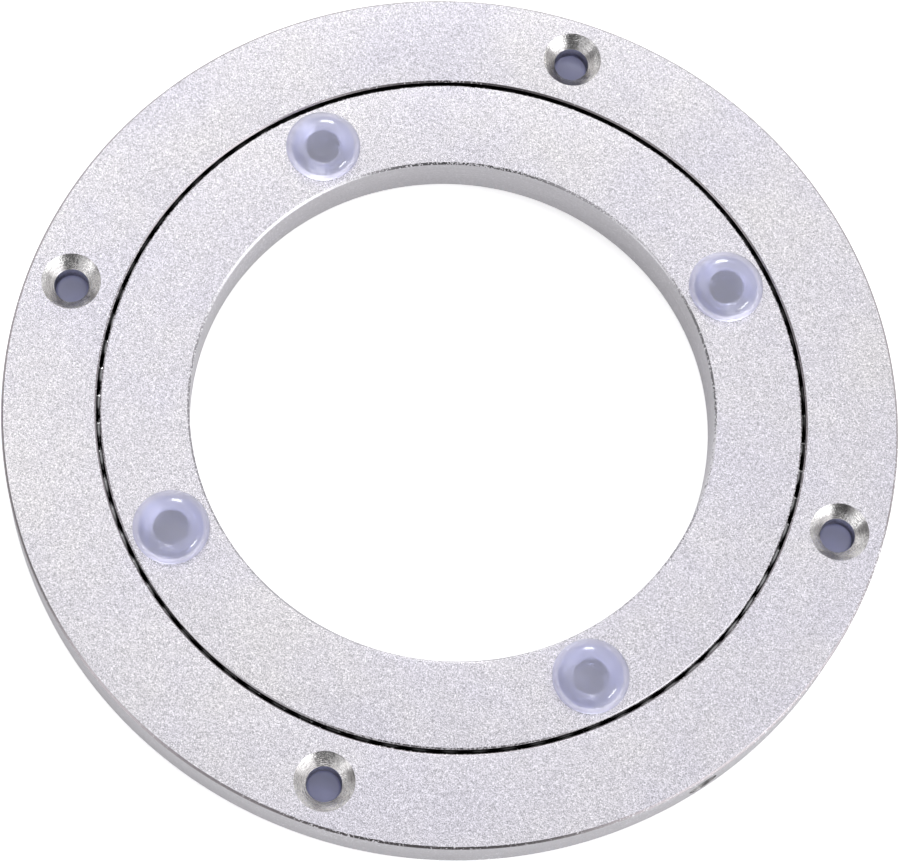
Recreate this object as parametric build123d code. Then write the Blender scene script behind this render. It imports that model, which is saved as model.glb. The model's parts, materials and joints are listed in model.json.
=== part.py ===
from build123d import *

import os
from math import asin, cos, floor, pi, radians, sin, tan

# Turntable ring bearing: an outer and an inner aluminium ring with flush faces, a full ring of balls
# between them, soft feet under the outer ring and soft pads on the inner ring. Millimetres and degrees.
# Z is the axis that everything turns about, and Z = 0 is the plane that the feet stand on.

# the two rings, from the rim inwards
outer_diameter = 140.0
outer_ring_width = 14.6
gap_width = 0.6
inner_ring_width = 13.8
ring_thickness = 8.5
rim_chamfer = 0.35              # on the outer rim and on the bore
gap_chamfer = 0.25              # on the edges of the gap between the rings

# the balls and the round groove that they run in, half of it in each ring
ball_diameter = 4.5
ball_side_clearance = 0.05      # between neighbouring balls, at least
race_clearance = 0.1            # of the groove's radius over the ball's
first_ball_angle = 3.2
ball_groups = 38                # nodes that the balls are shared out over

# the screw holes, one circle of them in each ring, near the middle of its face, all countersunk from above
hole_count = 4
hole_diameter = 5.5
countersink_diameter = 9.3
countersink_angle = 90.0
outer_hole_offset = 0.3         # outwards from the middle of the outer ring's face
outer_first_hole_angle = 0.0
inner_hole_offset = 0.1         # outwards from the middle of the inner ring's face
inner_first_hole_angle = 43.6

# pads and feet, one moulding: a domed head on a stem that is pushed into a screw hole
pad_margin = 1.0                # of the narrower ring's face that shows on each side of a head
pad_height = 2.6
pad_edge_height = 0.7           # of the straight edge under the dome
pad_flat_diameter = 4.8         # of the level spot on the dome
stem_length = 4.8
stem_clearance = 0.15           # between stem and hole, all round
stem_tip_chamfer = 0.6

# the hole that the balls go in through, radial in the outer ring's wall, and the plug that closes it
fill_hole_angle = -39.0
fill_clearance = 0.2            # between a ball and the hole, all round
plug_clearance = 0.03           # between plug and hole, all round
plug_recess = 0.5               # of the plug's outer end below the rim
plug_race_gap = 0.15            # between the plug's inner end and the groove
plug_chamfer = 0.25
key_width = 2.0                 # across the flats of the hexagon socket
key_depth = 1.8

# radii, levels and numbers that follow
rim_radius = outer_diameter / 2
outer_wall_radius = rim_radius - outer_ring_width
inner_wall_radius = outer_wall_radius - gap_width
bore_radius = inner_wall_radius - inner_ring_width
pitch_radius = (outer_wall_radius + inner_wall_radius) / 2
outer_hole_radius = (rim_radius + outer_wall_radius) / 2 + outer_hole_offset
inner_hole_radius = (inner_wall_radius + bore_radius) / 2 + inner_hole_offset
race_radius = ball_diameter / 2 + race_clearance
fill_hole_radius = ball_diameter / 2 + fill_clearance
pad_radius = min(outer_ring_width, inner_ring_width) / 2 - pad_margin
ring_bottom = pad_height
ring_top = ring_bottom + ring_thickness
ball_level = ring_bottom + ring_thickness / 2
ball_count = floor(pi / asin((ball_diameter + ball_side_clearance) / 2 / pitch_radius))
cut_margin = 1.0                # of a cutting solid past the surface that it leaves through


def turned(*points):
    """The solid that a closed outline of (radius, height) points sweeps round the Z axis."""
    return revolve(Plane.XZ * make_face(Polyline(*points, close=True)), Axis.Z)


def annulus(inner_radius, outer_radius, inner_chamfer, outer_chamfer):
    """A flat ring between the two face levels, with the edges of both walls chamfered."""
    return turned(
        (inner_radius + inner_chamfer, ring_bottom),
        (outer_radius - outer_chamfer, ring_bottom),
        (outer_radius, ring_bottom + outer_chamfer),
        (outer_radius, ring_top - outer_chamfer),
        (outer_radius - outer_chamfer, ring_top),
        (inner_radius + inner_chamfer, ring_top),
        (inner_radius, ring_top - inner_chamfer),
        (inner_radius, ring_bottom + inner_chamfer),
    )


def groove():
    """The round channel of the balls, which cuts half of itself into each ring."""
    return Pos(0, 0, ball_level) * Torus(pitch_radius, race_radius)


def screw_hole():
    """A screw hole through a ring on the Z axis, countersunk in the upper face."""
    depth = (countersink_diameter - hole_diameter) / 2 / tan(radians(countersink_angle / 2))
    return turned(
        (0, ring_bottom - cut_margin),
        (hole_diameter / 2, ring_bottom - cut_margin),
        (hole_diameter / 2, ring_top - depth),
        (countersink_diameter / 2, ring_top),
        (countersink_diameter / 2, ring_top + cut_margin),
        (0, ring_top + cut_margin),
    )


def round_circle(shape, radius, first_angle):
    """Copies of a shape made on the Z axis, one at each hole of a circle."""
    angles = [first_angle + i * 360 / hole_count for i in range(hole_count)]
    return [Rot(0, 0, angle) * Pos(radius, 0, 0) * shape for angle in angles]


def radial_bar(radius, start, end):
    """A cylinder in the fill hole's line, between two distances from the Z axis."""
    bar = Cylinder(radius, end - start, align=(Align.CENTER, Align.CENTER, Align.MIN))
    return Rot(0, 0, fill_hole_angle) * Pos(start, 0, ball_level) * Rot(0, 90, 0) * bar


def outer_ring():
    """The outer ring, with its screw holes and the fill hole in its wall."""
    ring = annulus(outer_wall_radius, rim_radius, gap_chamfer, rim_chamfer)
    fill_hole = radial_bar(fill_hole_radius, pitch_radius, rim_radius + cut_margin)
    holes = round_circle(screw_hole(), outer_hole_radius, outer_first_hole_angle)
    return ring - groove() - fill_hole - holes


def inner_ring():
    """The inner ring, with its screw holes, whose countersinks the pads cover."""
    ring = annulus(bore_radius, inner_wall_radius, rim_chamfer, gap_chamfer)
    holes = round_circle(screw_hole(), inner_hole_radius, inner_first_hole_angle)
    return ring - groove() - holes


def fill_plug():
    """The plug in the fill hole, with a hexagon socket in its outer end."""
    inner_end = pitch_radius + race_radius + plug_race_gap
    outer_end = rim_radius - plug_recess
    length = outer_end - inner_end
    plug = Cylinder(fill_hole_radius - plug_clearance, length)
    plug = chamfer(plug.edges().filter_by(GeomType.CIRCLE), plug_chamfer)
    key = extrude(RegularPolygon(key_width / 2, 6, major_radius=False), key_depth)
    plug -= Pos(0, 0, length / 2 - key_depth) * key
    return Rot(0, 0, fill_hole_angle) * Pos(inner_end + length / 2, 0, ball_level) * Rot(0, 90, 0) * plug


def pad():
    """A pad on the Z axis, its head above Z = 0 and its stem below."""
    stem_radius = hole_diameter / 2 - stem_clearance
    dome_start = (pad_flat_diameter / 2, pad_height)
    dome_end = (pad_radius, pad_edge_height)
    dome = TangentArc(dome_start, dome_end, tangent=(1, 0))
    rest = Polyline(
        dome_end,
        (pad_radius, 0),
        (stem_radius, 0),
        (stem_radius, stem_tip_chamfer - stem_length),
        (stem_radius - stem_tip_chamfer, -stem_length),
        (0, -stem_length),
        (0, pad_height),
        dome_start,
    )
    return revolve(Plane.XZ * make_face(dome + rest), Axis.Z)


def ball_group(index):
    """The neighbouring balls of one group."""
    first = index * ball_count // ball_groups
    past_last = (index + 1) * ball_count // ball_groups
    angles = [radians(first_ball_angle) + i * 2 * pi / ball_count for i in range(first, past_last)]
    places = [Pos(pitch_radius * cos(a), pitch_radius * sin(a), ball_level) for a in angles]
    return Compound([place * Sphere(ball_diameter / 2) for place in places])


nodes = {"outer_ring": outer_ring(), "inner_ring": inner_ring(), "ball_fill_plug": fill_plug()}
upper_pad = Pos(0, 0, ring_top) * pad()
lower_foot = Pos(0, 0, ring_bottom) * Rot(180, 0, 0) * pad()
for number, placed in enumerate(round_circle(upper_pad, inner_hole_radius, inner_first_hole_angle), 1):
    nodes[f"upper_pad_{number}"] = placed
for number, placed in enumerate(round_circle(lower_foot, outer_hole_radius, outer_first_hole_angle), 1):
    nodes[f"lower_foot_{number}"] = placed
for index in range(ball_groups):
    nodes[f"balls_{index + 1:02}"] = ball_group(index)

os.makedirs("parts", exist_ok=True)
for name, shape in nodes.items():
    export_step(shape, f"parts/{name}.step")
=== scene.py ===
import json
from math import acos, asin, atan2, cos, pi, radians, sin, tan

import bmesh
import bpy
from mathutils import Matrix, Vector


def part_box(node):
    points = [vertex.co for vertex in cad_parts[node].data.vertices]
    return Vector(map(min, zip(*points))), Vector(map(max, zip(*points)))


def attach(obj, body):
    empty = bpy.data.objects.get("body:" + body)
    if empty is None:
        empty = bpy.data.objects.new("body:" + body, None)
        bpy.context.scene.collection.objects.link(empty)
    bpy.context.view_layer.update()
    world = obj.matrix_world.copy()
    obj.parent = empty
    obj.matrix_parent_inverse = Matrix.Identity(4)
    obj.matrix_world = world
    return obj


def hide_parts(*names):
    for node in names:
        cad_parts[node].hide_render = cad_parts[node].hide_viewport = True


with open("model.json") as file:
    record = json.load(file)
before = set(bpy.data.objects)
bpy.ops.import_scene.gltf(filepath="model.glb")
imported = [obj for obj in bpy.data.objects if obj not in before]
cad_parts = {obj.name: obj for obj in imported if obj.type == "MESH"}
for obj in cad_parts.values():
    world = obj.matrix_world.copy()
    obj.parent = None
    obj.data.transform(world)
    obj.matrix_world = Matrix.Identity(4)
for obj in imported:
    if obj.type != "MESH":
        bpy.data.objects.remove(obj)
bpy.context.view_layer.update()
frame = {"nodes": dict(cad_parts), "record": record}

# ---------------------------------------------------------------------------------------------------
# Studio: a pale table under a large white tent, seen from above with the camera tipped a little. The
# tent is brighter or darker in five broad patches, and three soft panels of light stand on the right,
# behind the bearing and on the left.
# ---------------------------------------------------------------------------------------------------
scene = bpy.context.scene
scene.view_settings.view_transform = "Standard"

view_azimuth = radians(7.2)
view_elevation = radians(70.6)
view_roll = radians(11.3)
view_distance = 0.511
lens_mm = 131.6

ring_low, ring_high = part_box("outer_ring")
aim = Vector((0.00074, -0.00405, ring_high.z))
forward = Vector((-sin(view_azimuth) * cos(view_elevation),
                  cos(view_azimuth) * cos(view_elevation),
                  -sin(view_elevation)))
level_right = forward.cross(Vector((0, 0, 1))).normalized()
level_up = level_right.cross(forward)
camera_right = level_right * cos(view_roll) + level_up * sin(view_roll)
camera_up = camera_right.cross(forward)

camera_data = bpy.data.cameras.new("camera")
camera_data.lens = lens_mm
camera_data.sensor_width = 36
camera_data.clip_start = 0.01
camera_data.clip_end = 20
camera = bpy.data.objects.new("camera", camera_data)
turn = Matrix((camera_right, camera_up, -forward)).transposed().to_4x4()
camera.matrix_world = Matrix.Translation(aim - forward * view_distance) @ turn
scene.collection.objects.link(camera)
scene.camera = camera


def light_panel(name, azimuth, elevation, distance, width, height, watts):
    """A rectangular soft light that faces the origin from an azimuth, an elevation and a distance."""
    light = bpy.data.lights.new(name, "AREA")
    light.shape = "RECTANGLE"
    light.size = width
    light.size_y = height
    light.energy = watts
    lamp = bpy.data.objects.new(name, light)
    away = Vector((cos(azimuth) * cos(elevation), sin(azimuth) * cos(elevation), sin(elevation)))
    facing = away.to_track_quat("Z", "Y").to_matrix().to_4x4()
    lamp.matrix_world = Matrix.Translation(away * distance) @ facing
    scene.collection.objects.link(lamp)


light_panel("right_strip", azimuth=radians(-10), elevation=radians(38), distance=1.0,
            width=0.34, height=0.08, watts=1.5)
light_panel("back_panel", azimuth=radians(104), elevation=radians(32), distance=1.0,
            width=0.25, height=0.2, watts=2.2)
light_panel("left_panel", azimuth=radians(165), elevation=radians(52), distance=0.4,
            width=0.22, height=0.22, watts=0.13)


def new_material(name):
    """A new material, its node tree and its Principled BSDF."""
    material = bpy.data.materials.new(name)
    material.use_nodes = True
    return material, material.node_tree, material.node_tree.nodes["Principled BSDF"]


def add_node(tree, kind, inputs=(), **settings):
    """A node of a kind, with its settings and its inputs: values, or sockets to link from."""
    node = tree.nodes.new(kind)
    for key, value in settings.items():
        setattr(node, key, value)
    for key, value in dict(inputs).items():
        if isinstance(value, bpy.types.NodeSocket):
            tree.links.new(value, node.inputs[key])
        else:
            node.inputs[key].default_value = value
    return node


def math_node(tree, operation, *values, clamp=False):
    """The result of a Math node."""
    node = add_node(tree, "ShaderNodeMath", dict(enumerate(values)), operation=operation, use_clamp=clamp)
    return node.outputs[0]


def ramp(tree, factor, stops):
    """The colour of a Color Ramp with stops of (position, colour)."""
    node = add_node(tree, "ShaderNodeValToRGB", {"Fac": factor})
    while len(node.color_ramp.elements) < len(stops):
        node.color_ramp.elements.new(0.5)
    for element, (position, colour) in zip(node.color_ramp.elements, stops):
        element.position = position
        element.color = (*colour, 1)
    return node.outputs["Color"]


def mix_colour(tree, factor, first, second, blend="MIX"):
    """The result of a colour Mix node."""
    node = tree.nodes.new("ShaderNodeMix")
    node.data_type = "RGBA"
    node.blend_type = blend
    for socket, value in ((node.inputs[0], factor), (node.inputs[6], first), (node.inputs[7], second)):
        if isinstance(value, bpy.types.NodeSocket):
            tree.links.new(value, socket)
        else:
            socket.default_value = value
    return node.outputs[2]


world = bpy.data.worlds.new("tent")
world.use_nodes = True
tent = world.node_tree
tent_direction = add_node(tent, "ShaderNodeTexCoord").outputs["Generated"]
tent_light = 0.55    # even light, to which each patch adds its strength, fading towards its edge
for azimuth, elevation, reach, edge, strength in (
        (radians(95), radians(80), radians(62), radians(15), 0.5),
        (radians(-14), radians(5), radians(36), radians(14), 1.45),
        (radians(227), radians(9), radians(16), radians(7), 0.9),
        (radians(190), radians(8), radians(32), radians(12), -0.3),
        (radians(-72), radians(16), radians(32), radians(14), -0.45)):
    towards = (cos(azimuth) * cos(elevation), sin(azimuth) * cos(elevation), sin(elevation))
    cosine = add_node(tent, "ShaderNodeVectorMath", {
        0: tent_direction, 1: towards}, operation="DOT_PRODUCT").outputs["Value"]
    patch = add_node(tent, "ShaderNodeMapRange", {
        "Value": cosine, "From Min": cos(reach), "From Max": cos(edge), "To Min": 0.0, "To Max": strength},
        interpolation_type="SMOOTHSTEP").outputs["Result"]
    tent_light = math_node(tent, "ADD", tent_light, patch)
seen_tent = add_node(tent, "ShaderNodeLightPath").outputs["Is Camera Ray"]
tent_light = math_node(tent, "MAXIMUM", tent_light, seen_tent)
tent.nodes["Background"].inputs["Color"].default_value = (0.985, 0.98, 1.0, 1)
tent.links.new(tent_light, tent.nodes["Background"].inputs["Strength"])
scene.world = world

floor_size = 3.0
floor_drop = 0.0002  # below the soles of the feet
floor_glow = 0.6     # for the camera only, so that the table shows white
floor_material, floor_tree, floor_shader = new_material("white_table")
floor_noise = add_node(floor_tree, "ShaderNodeTexNoise", {
    "Vector": add_node(floor_tree, "ShaderNodeTexCoord").outputs["Object"], "Scale": 40.0})
floor_colour = ramp(floor_tree, floor_noise.outputs["Fac"], [
    (0.3, (0.93, 0.93, 0.93)), (0.7, (0.95, 0.95, 0.95))])
floor_tree.links.new(floor_colour, floor_shader.inputs["Base Color"])
floor_shader.inputs["Roughness"].default_value = 0.6
floor_shader.inputs["Specular IOR Level"].default_value = 0.2
floor_shader.inputs["Emission Color"].default_value = (1, 1, 1, 1)
camera_ray = add_node(floor_tree, "ShaderNodeLightPath").outputs["Is Camera Ray"]
floor_tree.links.new(math_node(floor_tree, "MULTIPLY", camera_ray, floor_glow),
                     floor_shader.inputs["Emission Strength"])
floor_mesh = bpy.data.meshes.new("table")
half = floor_size / 2
floor_corners = [(-half, -half, 0), (half, -half, 0), (half, half, 0), (-half, half, 0)]
floor_mesh.from_pydata(floor_corners, [], [(0, 1, 2, 3)])
floor_mesh.materials.append(floor_material)
floor = bpy.data.objects.new("table", floor_mesh)
scene.collection.objects.link(floor)
floor.location.z = -floor_drop

# ---------------------------------------------------------------------------------------------------
# Outer ring: a turned aluminium ring with half of the ball groove in its inside wall. Its flat faces
# are sandblasted, its walls and chamfers left as turned, and its four countersunk screw holes cut
# bright, last. The balls go in through a hole in its rim.
# ---------------------------------------------------------------------------------------------------
mm = 0.001


def shader_group(name, inputs, outputs):
    """An empty shader node group with named inputs and outputs, its input node and its output node."""
    group = bpy.data.node_groups.new(name, "ShaderNodeTree")
    for socket_name, kind, value in inputs:
        socket = group.interface.new_socket(socket_name, in_out="INPUT", socket_type=kind)
        if value is not None:
            socket.default_value = value
    for socket_name, kind in outputs:
        group.interface.new_socket(socket_name, in_out="OUTPUT", socket_type=kind)
    return group, group.nodes.new("NodeGroupInput"), group.nodes.new("NodeGroupOutput")


def put_group(tree, group, inputs=()):
    """A node of a group placed in a material's tree."""
    node = tree.nodes.new("ShaderNodeGroup")
    node.node_tree = group
    for key, value in dict(inputs).items():
        if isinstance(value, bpy.types.NodeSocket):
            tree.links.new(value, node.inputs[key])
        else:
            node.inputs[key].default_value = value
    return node


def noise(tree, vector, scale, detail=2.0, roughness=0.5, distortion=0.0):
    """The value of a noise texture."""
    return add_node(tree, "ShaderNodeTexNoise", {
        "Vector": vector, "Scale": scale, "Detail": detail, "Roughness": roughness,
        "Distortion": distortion}).outputs["Fac"]


# Blasted skin: pits left by the grit, a few of them catching the light, over broad uneven patches.
blasted, blasted_in, blasted_out = shader_group(
    "blasted_skin",
    [("Vector", "NodeSocketVector", None), ("Grit per metre", "NodeSocketFloat", 6500.0)],
    [("Tone", "NodeSocketFloat"), ("Patches", "NodeSocketFloat"), ("Height", "NodeSocketFloat")])
grit = blasted_in.outputs["Grit per metre"]
place = blasted_in.outputs["Vector"]
pits = noise(blasted, place, grit, detail=1.0, roughness=0.7)
coarse_share, spark_share = 0.35, 0.9   # of the grit's scale
spark_threshold, spark_strength = 0.95, 0.22
pit_weight, coarse_weight = 0.75, 0.25
patches_per_metre = 45.0
coarse = noise(blasted, place, math_node(blasted, "MULTIPLY", grit, coarse_share), detail=2.0)
sparks = add_node(blasted, "ShaderNodeTexVoronoi", {
    "Vector": place, "Scale": math_node(blasted, "MULTIPLY", grit, spark_share)}).outputs["Color"]
spark_value = add_node(blasted, "ShaderNodeSeparateColor", {"Color": sparks}).outputs["Red"]
is_spark = math_node(blasted, "GREATER_THAN", spark_value, spark_threshold)
spark = math_node(blasted, "MULTIPLY", is_spark, spark_strength)
grain = math_node(blasted, "ADD", math_node(blasted, "MULTIPLY", pits, pit_weight),
                  math_node(blasted, "MULTIPLY", coarse, coarse_weight))
blasted.links.new(math_node(blasted, "ADD", grain, spark), blasted_out.inputs["Tone"])
blasted.links.new(noise(blasted, place, patches_per_metre, detail=3.0, roughness=0.6),
                  blasted_out.inputs["Patches"])
blasted.links.new(grain, blasted_out.inputs["Height"])

# Tool marks: fine lines round the Z axis of the given place, which waver a little with the angle.
tool_marks, marks_in, marks_out = shader_group(
    "tool_marks",
    [("Vector", "NodeSocketVector", None), ("Lines per metre", "NodeSocketFloat", 9000.0)],
    [("Lines", "NodeSocketFloat")])
waver = 3.0
split = add_node(tool_marks, "ShaderNodeSeparateXYZ", {"Vector": marks_in.outputs["Vector"]})
radius = math_node(tool_marks, "SQRT", math_node(
    tool_marks, "ADD", math_node(tool_marks, "MULTIPLY", split.outputs["X"], split.outputs["X"]),
    math_node(tool_marks, "MULTIPLY", split.outputs["Y"], split.outputs["Y"])))
angle = math_node(tool_marks, "ARCTAN2", split.outputs["Y"], split.outputs["X"])
lines_per_metre = marks_in.outputs["Lines per metre"]
line_place = add_node(tool_marks, "ShaderNodeCombineXYZ", {
    "X": math_node(tool_marks, "MULTIPLY", radius, lines_per_metre),
    "Y": math_node(tool_marks, "MULTIPLY", split.outputs["Z"], lines_per_metre),
    "Z": math_node(tool_marks, "MULTIPLY", angle, waver)}).outputs[0]
lines = noise(tool_marks, line_place, 1.0, detail=2.0, roughness=0.6)
tool_marks.links.new(lines, marks_out.inputs["Lines"])

# Nicks: short fine scratches that cross in a few places, from handling.
nicks, nicks_in, nicks_out = shader_group(
    "handling_nicks",
    [("Vector", "NodeSocketVector", None), ("Amount", "NodeSocketFloat", 0.5)],
    [("Mask", "NodeSocketFloat")])
nicks_across = 3600.0                          # per metre
nick_thickness, nick_threshold = 0.16, 0.985   # of a cell, and of its random value
nick_masks = []
for direction, nicks_along in ((0.5, 90.0), (2.1, 130.0)):
    turned_place = add_node(nicks, "ShaderNodeMapping", {
        "Vector": nicks_in.outputs["Vector"], "Rotation": (0, 0, direction),
        "Scale": (nicks_along, nicks_across, 1.0)}).outputs[0]
    cells = add_node(nicks, "ShaderNodeTexVoronoi", {"Vector": turned_place, "Scale": 1.0, "Randomness": 1.0})
    few = add_node(nicks, "ShaderNodeSeparateColor", {"Color": cells.outputs["Color"]}).outputs["Green"]
    line = math_node(nicks, "LESS_THAN", cells.outputs["Distance"], nick_thickness)
    is_nick = math_node(nicks, "GREATER_THAN", few, nick_threshold)
    nick_masks.append(math_node(nicks, "MULTIPLY", line, is_nick))
both = math_node(nicks, "MAXIMUM", *nick_masks)
nicks.links.new(math_node(nicks, "MULTIPLY", both, nicks_in.outputs["Amount"]), nicks_out.inputs["Mask"])


def blasted_aluminium(name):
    """Sandblasted aluminium with sparkling grit pits, broad lavender patches and a few scratches."""
    material, tree, shader = new_material(name)
    place = add_node(tree, "ShaderNodeTexCoord").outputs["Object"]
    skin = put_group(tree, blasted, {"Vector": place})
    scratches = put_group(tree, nicks, {"Vector": place, "Amount": 0.6}).outputs["Mask"]
    tone = ramp(tree, skin.outputs["Tone"], [
        (0.36, (0.325, 0.325, 0.34)), (0.5, (0.685, 0.67, 0.70)), (0.64, (0.965, 0.95, 0.975))])
    tint = ramp(tree, skin.outputs["Patches"], [(0.35, (1.0, 0.995, 0.985)), (0.65, (0.965, 0.96, 1.0))])
    colour = mix_colour(tree, 1.0, tone, tint, "MULTIPLY")
    colour = mix_colour(tree, scratches, colour, (0.99, 0.99, 1.0, 1))
    tree.links.new(colour, shader.inputs["Base Color"])
    shader.inputs["Metallic"].default_value = 1.0
    rough = math_node(tree, "ADD", math_node(tree, "MULTIPLY", skin.outputs["Patches"], 0.12), 0.5)
    tree.links.new(rough, shader.inputs["Roughness"])
    bump = add_node(tree, "ShaderNodeBump", {
        "Height": skin.outputs["Height"], "Strength": 0.5, "Distance": 0.06 * mm})
    tree.links.new(bump.outputs["Normal"], shader.inputs["Normal"])
    return material


def turned_aluminium(name, roughness, ragged, tones):
    """Aluminium as turned, with lines round the ring's axis, and paler where stray grit has caught it."""
    material, tree, shader = new_material(name)
    place = add_node(tree, "ShaderNodeTexCoord").outputs["Object"]
    marks = put_group(tree, tool_marks, {"Vector": place})
    skin = put_group(tree, blasted, {"Vector": place, "Grit per metre": 3200.0})
    tone = ramp(tree, marks.outputs["Lines"], tones)
    smudges = ramp(tree, skin.outputs["Tone"], [(0.3, (0.55, 0.54, 0.56)), (0.7, (0.95, 0.94, 0.97))])
    uneven = math_node(tree, "ADD", skin.outputs["Height"], math_node(
        tree, "MULTIPLY", math_node(tree, "SUBTRACT", skin.outputs["Patches"], 0.5), 0.6))
    caught_from, caught_to = 0.66 - 0.2 * ragged, 0.7 - 0.2 * ragged
    caught = add_node(tree, "ShaderNodeMapRange", {
        "Value": uneven, "From Min": caught_from, "From Max": caught_to}).outputs[0]
    colour = mix_colour(tree, 0.4, tone, mix_colour(tree, 1.0, tone, smudges, "MULTIPLY"))
    tree.links.new(mix_colour(tree, caught, colour, (0.9, 0.89, 0.92, 1)), shader.inputs["Base Color"])
    shader.inputs["Metallic"].default_value = 1.0
    smooth_part = math_node(tree, "ADD", math_node(tree, "MULTIPLY", marks.outputs["Lines"], 0.12), roughness)
    tree.links.new(math_node(tree, "ADD", smooth_part, math_node(tree, "MULTIPLY", caught, 0.4)),
                   shader.inputs["Roughness"])
    bump = add_node(tree, "ShaderNodeBump", {
        "Height": marks.outputs["Lines"], "Strength": 0.35, "Distance": 0.02 * mm})
    tree.links.new(bump.outputs["Normal"], shader.inputs["Normal"])
    return material


def countersink_aluminium(name, circle_radius, first_hole_angle, tones, roughness):
    """The cut surface of four screw holes, with lines round each one's own axis and patches of chatter."""
    material, tree, shader = new_material(name)
    place = add_node(tree, "ShaderNodeMapping", {
        "Vector": add_node(tree, "ShaderNodeTexCoord").outputs["Object"],
        "Rotation": (0, 0, -first_hole_angle)})
    split = add_node(tree, "ShaderNodeSeparateXYZ", {"Vector": place.outputs[0]})
    # The turned place has a hole on each half axis, so folding it at both axes and at the diagonal brings
    # all four together, and "along" is the distance from the hole's axis along the ring's radius.
    x_size = math_node(tree, "ABSOLUTE", split.outputs["X"])
    y_size = math_node(tree, "ABSOLUTE", split.outputs["Y"])
    along = math_node(tree, "SUBTRACT", math_node(tree, "MAXIMUM", x_size, y_size), circle_radius)
    hole_place = add_node(tree, "ShaderNodeCombineXYZ", {
        "X": along, "Y": math_node(tree, "MINIMUM", x_size, y_size), "Z": split.outputs["Z"]}).outputs[0]
    patches_per_metre, dots_per_metre = 260.0, 3000.0
    line_weight, dot_weight = 0.35, 0.65
    chatter_patches = ramp(tree, noise(tree, place.outputs[0], patches_per_metre, detail=1.0), [
        (0.4, (0.25, 0.25, 0.25)), (0.55, (1, 1, 1))])
    marks = put_group(tree, tool_marks, {"Vector": hole_place, "Lines per metre": 4200.0})
    dots = noise(tree, hole_place, dots_per_metre, detail=1.0)
    chatter = math_node(tree, "MULTIPLY", dots, chatter_patches)
    cut = math_node(tree, "ADD", math_node(tree, "MULTIPLY", marks.outputs["Lines"], line_weight),
                    math_node(tree, "MULTIPLY", chatter, dot_weight))
    tree.links.new(ramp(tree, cut, tones), shader.inputs["Base Color"])
    shader.inputs["Metallic"].default_value = 1.0
    shader.inputs["Roughness"].default_value = roughness
    bump = add_node(tree, "ShaderNodeBump", {"Height": cut, "Strength": 1.0, "Distance": 0.1 * mm})
    tree.links.new(bump.outputs["Normal"], shader.inputs["Normal"])
    return material


# Sizes of the outer ring, and of the gap and the groove between the two rings.
mounts = {mount["name"]: mount for mount in frame["record"]["mounts"]}
rim_radius = mounts["outer_rim"]["dims"]["r_mm"] * mm
bore_radius = mounts["bore"]["dims"]["r_mm"] * mm
ring_bottom, ring_top = ring_low.z, ring_high.z
ball_level = (ring_bottom + ring_top) / 2
outer_ring_width = 14.6 * mm
gap_width = 0.6 * mm
rim_chamfer = 0.35 * mm
gap_chamfer = 0.25 * mm
edge_radius = 0.06 * mm
race_radius = 2.35 * mm
outer_wall_radius = rim_radius - outer_ring_width
inner_wall_radius = outer_wall_radius - gap_width
pitch_radius = (outer_wall_radius + inner_wall_radius) / 2
hole_radius = mounts["outer_ring_screws"]["dims"]["hole_r_mm"] * mm
sink_radius = 4.65 * mm
fill_hole_radius = 2.45 * mm
fill_hole_angle = radians(-39)
ring_segments = 360
hole_sides = 96


def eased(corners, radius, steps=3):
    """A closed outline with each clear corner replaced by a small arc; the groove's arcs stay as they are."""
    nearly_straight = radians(80)
    outline = []
    for i, corner in enumerate(corners):
        corner = Vector(corner)
        to_last = (Vector(corners[i - 1]) - corner).normalized()
        to_next = (Vector(corners[(i + 1) % len(corners)]) - corner).normalized()
        half_angle = acos(max(-1.0, min(1.0, to_last.dot(to_next)))) / 2
        if half_angle > nearly_straight:
            outline.append(corner)
            continue
        reach = radius / tan(half_angle)
        start, end = corner + to_last * reach, corner + to_next * reach
        centre = corner + (to_last + to_next).normalized() * (radius / sin(half_angle))
        for k in range(steps + 1):
            point = start.lerp(end, k / steps) - centre
            outline.append(centre + point.normalized() * radius)
    return outline


def race_arc(wall_radius, steps=14):
    """The groove's arc from its lower to its upper edge in a wall, as (radius, height) points."""
    side = 1 if wall_radius > pitch_radius else -1
    edge_angle = asin((abs(wall_radius - pitch_radius)) / race_radius)
    span = pi - 2 * edge_angle
    angles = [-span / 2 + span * k / steps for k in range(steps + 1)]
    return [(pitch_radius + side * race_radius * cos(a), ball_level + race_radius * sin(a)) for a in angles]


def outline_object(name, outline):
    """An object whose mesh is a closed outline of (radius, height) points about the pitch circle."""
    mesh = bpy.data.meshes.new(name)
    points = [(r - pitch_radius, z - ball_level, 0) for r, z in outline]
    mesh.from_pydata(points, [(i, (i + 1) % len(points)) for i in range(len(points))], [])
    piece = bpy.data.objects.new(name, mesh)
    scene.collection.objects.link(piece)
    return piece


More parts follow.
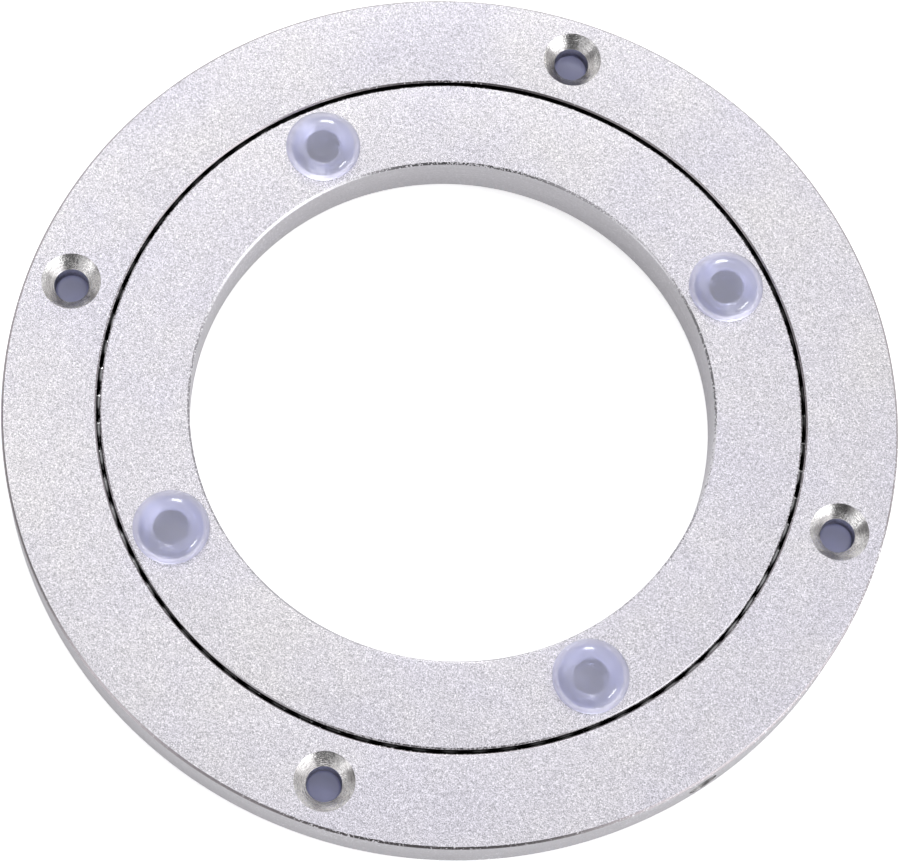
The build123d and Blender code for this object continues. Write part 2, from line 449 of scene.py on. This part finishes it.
def ring_tree(name, with_fill_hole):
    """A tree that turns a section into a ring, drills it and gives each surface its finish."""
    tree = bpy.data.node_groups.new(name, "GeometryNodeTree")
    tree.interface.new_socket("Section", in_out="INPUT", socket_type="NodeSocketGeometry")
    for socket in ("Pitch Radius", "Level", "Thickness", "Hole Circle", "First Hole Angle", "Hole Radius",
                   "Sink Radius", "Fill Hole Radius", "Fill Hole Angle", "Groove Reach", "Gap Reach"):
        tree.interface.new_socket(socket, in_out="INPUT", socket_type="NodeSocketFloat")
    tree.interface.new_socket("Segments", in_out="INPUT", socket_type="NodeSocketInt")
    for socket in ("Face Finish", "Wall Finish", "Edge Finish", "Groove Finish", "Hole Finish"):
        tree.interface.new_socket(socket, in_out="INPUT", socket_type="NodeSocketMaterial")
    tree.interface.new_socket("Ring", in_out="OUTPUT", socket_type="NodeSocketGeometry")
    given = tree.nodes.new("NodeGroupInput").outputs
    result = tree.nodes.new("NodeGroupOutput")

    def tag(geometry, value):
        return add_node(tree, "GeometryNodeStoreNamedAttribute", {
            "Geometry": geometry, "Name": "drilled", "Value": value},
            data_type="FLOAT", domain="FACE").outputs[0]

    def vector(x=0.0, y=0.0, z=0.0):
        return add_node(tree, "ShaderNodeCombineXYZ", {"X": x, "Y": y, "Z": z}).outputs[0]

    path = add_node(tree, "GeometryNodeCurvePrimitiveCircle", {
        "Radius": given["Pitch Radius"], "Resolution": given["Segments"]}, mode="RADIUS")
    section = add_node(tree, "GeometryNodeMeshToCurve", {"Mesh": given["Section"]})
    turned = add_node(tree, "GeometryNodeCurveToMesh", {
        "Curve": path.outputs[0], "Profile Curve": section.outputs[0]})
    body = add_node(tree, "GeometryNodeTransform", {
        "Geometry": tag(turned.outputs[0], 0.0), "Translation": vector(z=given["Level"])}).outputs[0]

    sink_depth = math_node(tree, "SUBTRACT", given["Sink Radius"], given["Hole Radius"])
    margin = 0.5 * mm           # of the countersink's cutter above the face
    edge_below, wall_below = 0.97, 0.35   # how upright a surface's normal is, at most
    drill = add_node(tree, "GeometryNodeMeshCylinder", {
        "Vertices": hole_sides, "Radius": given["Hole Radius"],
        "Depth": math_node(tree, "MULTIPLY", given["Thickness"], 1.5)}, fill_type="NGON").outputs["Mesh"]
    cone = add_node(tree, "GeometryNodeMeshCone", {
        "Vertices": hole_sides, "Radius Top": math_node(tree, "ADD", given["Sink Radius"], margin),
        "Radius Bottom": given["Hole Radius"],
        "Depth": math_node(tree, "ADD", sink_depth, margin)}, fill_type="NGON").outputs["Mesh"]
    face_height = math_node(tree, "MULTIPLY", given["Thickness"], 0.5)
    cone_start = math_node(tree, "SUBTRACT", face_height, sink_depth)
    sink = add_node(tree, "GeometryNodeTransform", {
        "Geometry": cone, "Translation": vector(z=cone_start)}).outputs[0]
    places = add_node(tree, "GeometryNodeTransform", {
        "Geometry": add_node(tree, "GeometryNodeMeshCircle", {
            "Vertices": 4, "Radius": given["Hole Circle"]}).outputs[0],
        "Translation": vector(z=given["Level"]), "Rotation": vector(z=given["First Hole Angle"])}).outputs[0]
    cutters = []
    for cutter in (drill, sink):
        spread = add_node(tree, "GeometryNodeInstanceOnPoints", {
            "Points": places, "Instance": cutter}).outputs[0]
        cutters.append(add_node(tree, "GeometryNodeRealizeInstances", {"Geometry": spread}).outputs[0])
    if with_fill_hole:
        side_drill = add_node(tree, "GeometryNodeMeshCylinder", {
            "Vertices": hole_sides, "Radius": given["Fill Hole Radius"],
            "Depth": given["Pitch Radius"]}, fill_type="NGON").outputs["Mesh"]
        half_way = math_node(tree, "MULTIPLY", given["Pitch Radius"], 1.5)
        drill_x = math_node(tree, "MULTIPLY", half_way, math_node(tree, "COSINE", given["Fill Hole Angle"]))
        drill_y = math_node(tree, "MULTIPLY", half_way, math_node(tree, "SINE", given["Fill Hole Angle"]))
        cutters.append(add_node(tree, "GeometryNodeTransform", {
            "Geometry": side_drill, "Translation": vector(drill_x, drill_y, given["Level"]),
            "Rotation": vector(0.0, pi / 2, given["Fill Hole Angle"])}).outputs[0])
    drilled = add_node(tree, "GeometryNodeMeshBoolean", {
        "Mesh 1": body}, operation="DIFFERENCE", solver="EXACT")
    for cutter in cutters:
        tree.links.new(tag(cutter, 1.0), drilled.inputs["Mesh 2"])

    normal_z = add_node(tree, "ShaderNodeSeparateXYZ", {
        "Vector": add_node(tree, "GeometryNodeInputNormal").outputs[0]}).outputs["Z"]
    uprightness = math_node(tree, "ABSOLUTE", normal_z)
    is_edge = math_node(tree, "LESS_THAN", uprightness, edge_below)
    is_wall = math_node(tree, "LESS_THAN", uprightness, wall_below)
    place = add_node(tree, "ShaderNodeSeparateXYZ", {
        "Vector": add_node(tree, "GeometryNodeInputPosition").outputs[0]})
    from_axis = math_node(tree, "SQRT", math_node(
        tree, "ADD", math_node(tree, "POWER", place.outputs["X"], 2.0),
        math_node(tree, "POWER", place.outputs["Y"], 2.0)))
    near_pitch = math_node(tree, "COMPARE", from_axis, given["Pitch Radius"], given["Groove Reach"])
    in_gap = math_node(tree, "MULTIPLY", near_pitch, math_node(
        tree, "COMPARE", place.outputs["Z"], given["Level"], given["Gap Reach"]))
    is_drilled = add_node(tree, "GeometryNodeInputNamedAttribute", {"Name": "drilled"}, data_type="FLOAT")
    ring = add_node(tree, "GeometryNodeRealizeInstances", {"Geometry": drilled.outputs[0]}).outputs[0]
    for finish, where in (("Face Finish", None), ("Edge Finish", is_edge), ("Wall Finish", is_wall),
                          ("Hole Finish", is_drilled.outputs[0]), ("Groove Finish", in_gap)):
        node = add_node(tree, "GeometryNodeSetMaterial", {"Geometry": ring, "Material": given[finish]})
        if where is not None:
            tree.links.new(math_node(tree, "GREATER_THAN", where, 0.5), node.inputs["Selection"])
        ring = node.outputs[0]
    tree.links.new(ring, result.inputs[0])
    return tree


def grown(source, tree, inputs, name, sharp_angle=radians(10)):
    """The plain mesh object that a Geometry Nodes tree makes of a source object, which is removed."""
    modifier = source.modifiers.new(tree.name, "NODES")
    modifier.node_group = tree
    for item in tree.interface.items_tree:
        if item.item_type == "SOCKET" and item.in_out == "INPUT" and item.name in inputs:
            modifier[item.identifier] = inputs[item.name]
    bpy.context.view_layer.update()
    evaluated = source.evaluated_get(bpy.context.evaluated_depsgraph_get())
    mesh = bpy.data.meshes.new_from_object(evaluated)
    mesh.name = name
    source.modifiers.remove(modifier)
    bpy.data.objects.remove(source)
    for polygon in mesh.polygons:
        polygon.use_smooth = True
    mesh.set_sharp_from_angle(angle=sharp_angle)
    piece = bpy.data.objects.new(name, mesh)
    scene.collection.objects.link(piece)
    return piece


blasted_faces = blasted_aluminium("blasted_faces")
wall_tones = [(0.3, (0.65, 0.64, 0.66)), (0.7, (0.77, 0.76, 0.78))]
# The outer ring's chamfers get darker tones than its walls: painted shade, for the dark line along the rim's
# edges.
rim_shade_tones = [(0.3, (0.43, 0.40, 0.41)), (0.7, (0.53, 0.50, 0.51))]
shaded_rim_edges = turned_aluminium("shaded_rim_edges", 0.18, 0.12, rim_shade_tones)
turned_walls = turned_aluminium("turned_walls", 0.36, 0.0, wall_tones)

# The groove and the walls of the gap, painted nearly black: painted shade, for the dark deep in the narrow
# gap between the rings.
groove_painted_shade, groove_tree, groove_shader = new_material("groove_painted_shade")
groove_place = add_node(groove_tree, "ShaderNodeTexCoord").outputs["Object"]
groove_marks = put_group(groove_tree, tool_marks, {"Vector": groove_place, "Lines per metre": 5000.0})
groove_lines = groove_marks.outputs["Lines"]
groove_shade_tones = [(0.3, (0.02, 0.018, 0.017)), (0.7, (0.07, 0.063, 0.06))]
groove_tree.links.new(ramp(groove_tree, groove_lines, groove_shade_tones), groove_shader.inputs["Base Color"])
groove_shader.inputs["Metallic"].default_value = 1.0
groove_rough = math_node(groove_tree, "ADD", math_node(groove_tree, "MULTIPLY", groove_lines, 0.2), 0.2)
groove_tree.links.new(groove_rough, groove_shader.inputs["Roughness"])

outer_hole_circle = mounts["outer_ring_screws"]["dims"]["pcd_mm"] / 2 * mm
open_sink_tones = [(0.2, (0.50, 0.485, 0.48)), (0.38, (0.82, 0.81, 0.80)), (0.52, (1.0, 0.99, 0.98))]
outer_section = eased(
    [(outer_wall_radius + gap_chamfer, ring_bottom), (rim_radius - rim_chamfer, ring_bottom),
     (rim_radius, ring_bottom + rim_chamfer), (rim_radius, ring_top - rim_chamfer),
     (rim_radius - rim_chamfer, ring_top), (outer_wall_radius + gap_chamfer, ring_top),
     (outer_wall_radius, ring_top - gap_chamfer)]
    + race_arc(outer_wall_radius)[::-1]
    + [(outer_wall_radius, ring_bottom + gap_chamfer)], edge_radius)
ring_inputs = {
    "Pitch Radius": pitch_radius, "Level": ball_level, "Thickness": ring_top - ring_bottom,
    "Hole Radius": hole_radius, "Sink Radius": sink_radius, "Groove Reach": race_radius + 0.05 * mm,
    "Gap Reach": (ring_top - ring_bottom) / 2 - gap_chamfer - 0.02 * mm, "Segments": ring_segments,
    "Face Finish": blasted_faces, "Edge Finish": shaded_rim_edges, "Wall Finish": turned_walls,
    "Groove Finish": groove_painted_shade}
outer_ring = grown(
    outline_object("outer_ring_section", outer_section), ring_tree("outer_ring_turning", True),
    {**ring_inputs, "Hole Circle": outer_hole_circle, "First Hole Angle": 0.0,
     "Fill Hole Radius": fill_hole_radius, "Fill Hole Angle": fill_hole_angle,
     "Hole Finish": countersink_aluminium("outer_ring_holes", outer_hole_circle, 0.0, open_sink_tones, 0.17)},
    "outer_ring_turned")
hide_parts("outer_ring")
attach(outer_ring, "outer")

# ---------------------------------------------------------------------------------------------------
# Inner ring: the aluminium ring that moves, made and finished like the outer one, with its half of the
# groove in its outside wall. The pads cover its four countersunk screw holes.
# ---------------------------------------------------------------------------------------------------
inner_hole_circle = mounts["inner_ring_screws"]["dims"]["pcd_mm"] / 2 * mm
covered_sink_tones = [(0.2, (0.85, 0.85, 0.85)), (0.5, (1.0, 1.0, 1.0))]
first_pad = mounts["load_pads"]["pos_m"]
inner_first_hole_angle = atan2(first_pad[1], first_pad[0])
inner_section = eased(
    [(bore_radius + rim_chamfer, ring_bottom), (inner_wall_radius - gap_chamfer, ring_bottom),
     (inner_wall_radius, ring_bottom + gap_chamfer)]
    + race_arc(inner_wall_radius)
    + [(inner_wall_radius, ring_top - gap_chamfer), (inner_wall_radius - gap_chamfer, ring_top),
       (bore_radius + rim_chamfer, ring_top), (bore_radius, ring_top - rim_chamfer),
       (bore_radius, ring_bottom + rim_chamfer)], edge_radius)
inner_ring = grown(
    outline_object("inner_ring_section", inner_section), ring_tree("inner_ring_turning", False),
    {**ring_inputs, "Edge Finish": turned_aluminium("bore_edges", 0.14, 0.6, wall_tones),
     "Hole Circle": inner_hole_circle, "First Hole Angle": inner_first_hole_angle,
     "Hole Finish": countersink_aluminium("inner_ring_holes", inner_hole_circle, inner_first_hole_angle,
                                          covered_sink_tones, 0.3)},
    "inner_ring_turned")
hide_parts("inner_ring")
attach(inner_ring, "inner")

# ---------------------------------------------------------------------------------------------------
# Balls: a full row of polished steel balls, a hair apart and with no cage, copied round the pitch
# circle. They show as glints in the gap between the rings.
# ---------------------------------------------------------------------------------------------------
ball_nodes = sorted(name for name in frame["nodes"] if name.startswith("balls_"))
balls_per_node = 2
ball_count = balls_per_node * len(ball_nodes)
ball_low, ball_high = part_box(ball_nodes[0])
ball_radius = (ball_high.z - ball_low.z) / 2
first_ball_angle = radians(3.2)
ball_subdivisions = 4

shaded_ball_steel, ball_tree, ball_shader = new_material("polished_ball_steel")
ball_place = add_node(ball_tree, "ShaderNodeTexCoord").outputs["Object"]
# The balls' colour is painted dark: painted shade, for the dark of the narrow gap they sit in; the scuffs
# vary it a little.
ball_scuffs = noise(ball_tree, ball_place, 900.0, detail=4.0)
ball_tree.links.new(ramp(ball_tree, ball_scuffs, [(0.3, (0.24, 0.24, 0.245)), (0.7, (0.30, 0.30, 0.305))]),
                    ball_shader.inputs["Base Color"])
ball_tree.links.new(math_node(ball_tree, "ADD", math_node(ball_tree, "MULTIPLY", ball_scuffs, 0.06), 0.06),
                    ball_shader.inputs["Roughness"])
ball_shader.inputs["Metallic"].default_value = 1.0

row_tree = bpy.data.node_groups.new("ball_row", "GeometryNodeTree")
row_tree.interface.new_socket("Seed", in_out="INPUT", socket_type="NodeSocketGeometry")
row_tree.interface.new_socket("Balls", in_out="INPUT", socket_type="NodeSocketInt")
for socket_name in ("Pitch Radius", "Level", "Ball Radius", "First Ball Angle"):
    row_tree.interface.new_socket(socket_name, in_out="INPUT", socket_type="NodeSocketFloat")
row_tree.interface.new_socket("Finish", in_out="INPUT", socket_type="NodeSocketMaterial")
row_tree.interface.new_socket("Row", in_out="OUTPUT", socket_type="NodeSocketGeometry")
row_given = row_tree.nodes.new("NodeGroupInput").outputs
row_points = add_node(row_tree, "GeometryNodeMeshCircle", {
    "Vertices": row_given["Balls"], "Radius": row_given["Pitch Radius"]}).outputs[0]
row_rise = add_node(row_tree, "ShaderNodeCombineXYZ", {"Z": row_given["Level"]}).outputs[0]
row_turn = add_node(row_tree, "ShaderNodeCombineXYZ", {"Z": row_given["First Ball Angle"]}).outputs[0]
row_places = add_node(row_tree, "GeometryNodeTransform", {
    "Geometry": row_points, "Translation": row_rise, "Rotation": row_turn}).outputs[0]
one_ball = add_node(row_tree, "GeometryNodeMeshIcoSphere", {
    "Radius": row_given["Ball Radius"], "Subdivisions": ball_subdivisions}).outputs[0]
row = add_node(row_tree, "GeometryNodeInstanceOnPoints", {
    "Points": row_places, "Instance": one_ball}).outputs[0]
row = add_node(row_tree, "GeometryNodeRealizeInstances", {"Geometry": row}).outputs[0]
row = add_node(row_tree, "GeometryNodeSetMaterial", {
    "Geometry": row, "Material": row_given["Finish"]}).outputs[0]
row_tree.links.new(row, row_tree.nodes.new("NodeGroupOutput").inputs[0])

ball_seed = bpy.data.objects.new("ball_seed", bpy.data.meshes.new("ball_seed"))
scene.collection.objects.link(ball_seed)
ball_row = grown(
    ball_seed, row_tree,
    {"Balls": ball_count, "Pitch Radius": pitch_radius, "Level": ball_level, "Ball Radius": ball_radius,
     "First Ball Angle": first_ball_angle, "Finish": shaded_ball_steel},
    "ball_row", sharp_angle=radians(60))
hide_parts(*ball_nodes)
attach(ball_row, "ball_row")

# ---------------------------------------------------------------------------------------------------
# Ball fill plug: the CAD's own plain steel plug with a hexagon socket, which closes the fill hole in
# the rim. Only its material is made here, blackened and a little worn.
# ---------------------------------------------------------------------------------------------------
plug_steel, plug_tree, plug_shader = new_material("blackened_plug_steel")
plug_place = add_node(plug_tree, "ShaderNodeTexCoord").outputs["Object"]
plug_wear = put_group(plug_tree, blasted, {"Vector": plug_place, "Grit per metre": 5000.0})
plug_tone = plug_wear.outputs["Tone"]
plug_tree.links.new(ramp(plug_tree, plug_tone, [(0.3, (0.32, 0.32, 0.33)), (0.7, (0.55, 0.55, 0.56))]),
                    plug_shader.inputs["Base Color"])
plug_shader.inputs["Metallic"].default_value = 1.0
plug_rough = math_node(plug_tree, "ADD", math_node(plug_tree, "MULTIPLY", plug_tone, 0.2), 0.25)
plug_tree.links.new(plug_rough, plug_shader.inputs["Roughness"])
plug = frame["nodes"]["ball_fill_plug"]
plug.data.materials.clear()
plug.data.materials.append(plug_steel)

# ---------------------------------------------------------------------------------------------------
# Pads and feet: one clear soft plastic moulding, a low dome on a stem. Four are pushed into the inner
# ring's holes from above, and four into the outer ring's from below, where they carry the bearing.
# ---------------------------------------------------------------------------------------------------
pad_low, pad_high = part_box("upper_pad_1")
pad_radius = (pad_high.x - pad_low.x) / 2
pad_height = pad_high.z - ring_top
stem_length = ring_top - pad_low.z
stem_clearance = 0.15 * mm
stem_radius = hole_radius - stem_clearance
seat_gap = 0.03 * mm             # between a head and the ring's face
moulding_segments = 96

pad_material, pad_tree, pad_shader = new_material("clear_pad_plastic")
pad_place = add_node(pad_tree, "ShaderNodeTexCoord").outputs["Object"]
pad_cloud = noise(pad_tree, pad_place, 400.0, detail=3.0)
pad_level = add_node(pad_tree, "ShaderNodeSeparateXYZ", {"Vector": pad_place}).outputs["Z"]
from_ring_middle = math_node(pad_tree, "ABSOLUTE", math_node(pad_tree, "SUBTRACT", pad_level, ball_level))
half_thickness = (ring_top - ring_bottom) / 2
in_hole = math_node(pad_tree, "LESS_THAN", from_ring_middle, half_thickness - 0.1 * mm)
head_colour = ramp(pad_tree, pad_cloud, [(0.3, (0.95, 0.955, 0.99)), (0.7, (0.98, 0.982, 1.0))])
# Low on the head, near the seat, its colour turns darker lavender: painted shade, a dark outline round each
# pad's edge.
pad_edge_shade_colour = ramp(pad_tree, pad_cloud, [(0.3, (0.73, 0.735, 0.91)), (0.7, (0.78, 0.785, 0.94))])
stem_colour = ramp(pad_tree, pad_cloud, [(0.3, (0.43, 0.455, 0.82)), (0.7, (0.48, 0.505, 0.88))])
in_dome = add_node(pad_tree, "ShaderNodeMapRange", {
    "Value": from_ring_middle, "From Min": half_thickness + 0.5 * mm,
    "From Max": half_thickness + 1.2 * mm}, interpolation_type="SMOOTHSTEP").outputs["Result"]
head_colour = mix_colour(pad_tree, in_dome, pad_edge_shade_colour, head_colour)
pad_tree.links.new(mix_colour(pad_tree, in_hole, head_colour, stem_colour), pad_shader.inputs["Base Color"])
pad_tree.links.new(math_node(pad_tree, "ADD", math_node(pad_tree, "MULTIPLY", pad_cloud, 0.08), 0.27),
                   pad_shader.inputs["Roughness"])
pad_shader.inputs["Transmission Weight"].default_value = 0.93
pad_shader.inputs["IOR"].default_value = 1.4
pad_shader.inputs["Coat Weight"].default_value = 1.0
pad_shader.inputs["Coat Roughness"].default_value = 0.1
pad_shadow = add_node(pad_tree, "ShaderNodeBsdfTransparent", {"Color": (0.98, 0.982, 1.0, 1)})
light_let_through = 0.98         # into a pad's own shadow
is_shadow_ray = add_node(pad_tree, "ShaderNodeLightPath").outputs["Is Shadow Ray"]
shadow_share = math_node(pad_tree, "MULTIPLY", is_shadow_ray, light_let_through)
pad_mix = add_node(pad_tree, "ShaderNodeMixShader", {
    0: shadow_share, 1: pad_shader.outputs[0], 2: pad_shadow.outputs[0]})
pad_tree.links.new(pad_mix.outputs[0], pad_tree.nodes["Material Output"].inputs["Surface"])


def arc(centre, radius, start, end, steps):
    """Points of an arc between two angles, both ends included."""
    return [(centre[0] + radius * cos(start + (end - start) * k / steps),
             centre[1] + radius * sin(start + (end - start) * k / steps)) for k in range(steps + 1)]


def moulding_outline():
    """The (radius, height) outline of a pad from its top centre to the end of its stem."""
    flat_radius = 2.4 * mm
    edge_height = 0.7 * mm
    rise, run = pad_height - edge_height, pad_radius - flat_radius
    dome_radius = (run * run + rise * rise) / (2 * rise)
    end_angle = acos((dome_radius - rise) / dome_radius)
    dome = arc((flat_radius, pad_height - dome_radius), dome_radius, pi / 2, pi / 2 - end_angle, 24)
    lip_radius = 0.45 * mm
    lip = arc((pad_radius - lip_radius, lip_radius + seat_gap), lip_radius, 0, -pi / 2, 6)
    tip_radius = 0.5 * mm
    tip = arc((stem_radius - tip_radius, tip_radius - stem_length), tip_radius, 0, -pi / 2, 8)
    root_radius = 0.3 * mm
    root = arc((stem_radius + root_radius, seat_gap - root_radius), root_radius, pi / 2, pi, 5)
    across, along = 6, 8
    top = [(flat_radius * k / across, pad_height) for k in range(across)]
    side = [(stem_radius, -stem_length * k / along) for k in range(1, along - 1)]
    end = [(stem_radius * k / across, -stem_length) for k in range(across - 2, -1, -1)]
    return top + dome + lip + root + side + tip + end


def turned_mesh(name, outline, segments, place):
    """A closed mesh that an outline from axis to axis sweeps round Z, moved to its place."""
    build = bmesh.new()
    rings = []
    for r, z in outline:
        count = 1 if r < 1e-9 else segments
        rings.append([build.verts.new((r * cos(2 * pi * k / segments), r * sin(2 * pi * k / segments), z))
                      for k in range(count)])
    for upper, lower in zip(rings[:-1], rings[1:]):
        for k in range(segments):
            corners = [upper[k % len(upper)], lower[k % len(lower)],
                       lower[(k + 1) % len(lower)], upper[(k + 1) % len(upper)]]
            build.faces.new(list(dict.fromkeys(corners)))
    bmesh.ops.recalc_face_normals(build, faces=build.faces)
    build.transform(place)
    for face in build.faces:
        face.smooth = True
    mesh = bpy.data.meshes.new(name)
    build.to_mesh(mesh)
    build.free()
    return mesh


def moulding(name, node, body, turned_over):
    """A pad or a foot in place of its CAD node, its axis where that node's is."""
    low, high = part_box(node)
    centre = (low + high) / 2
    seat = ring_bottom if turned_over else ring_top
    place = Matrix.Translation((centre.x, centre.y, seat)) @ Matrix.Rotation(pi if turned_over else 0, 4, "X")
    mesh = turned_mesh(name, moulding_outline(), moulding_segments, place)
    mesh.materials.append(pad_material)
    piece = bpy.data.objects.new(name, mesh)
    scene.collection.objects.link(piece)
    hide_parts(node)
    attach(piece, body)


for number in range(1, 5):
    moulding(f"upper_pad_{number}_moulding", f"upper_pad_{number}", "inner", False)
    moulding(f"lower_foot_{number}_moulding", f"lower_foot_{number}", "outer", True)
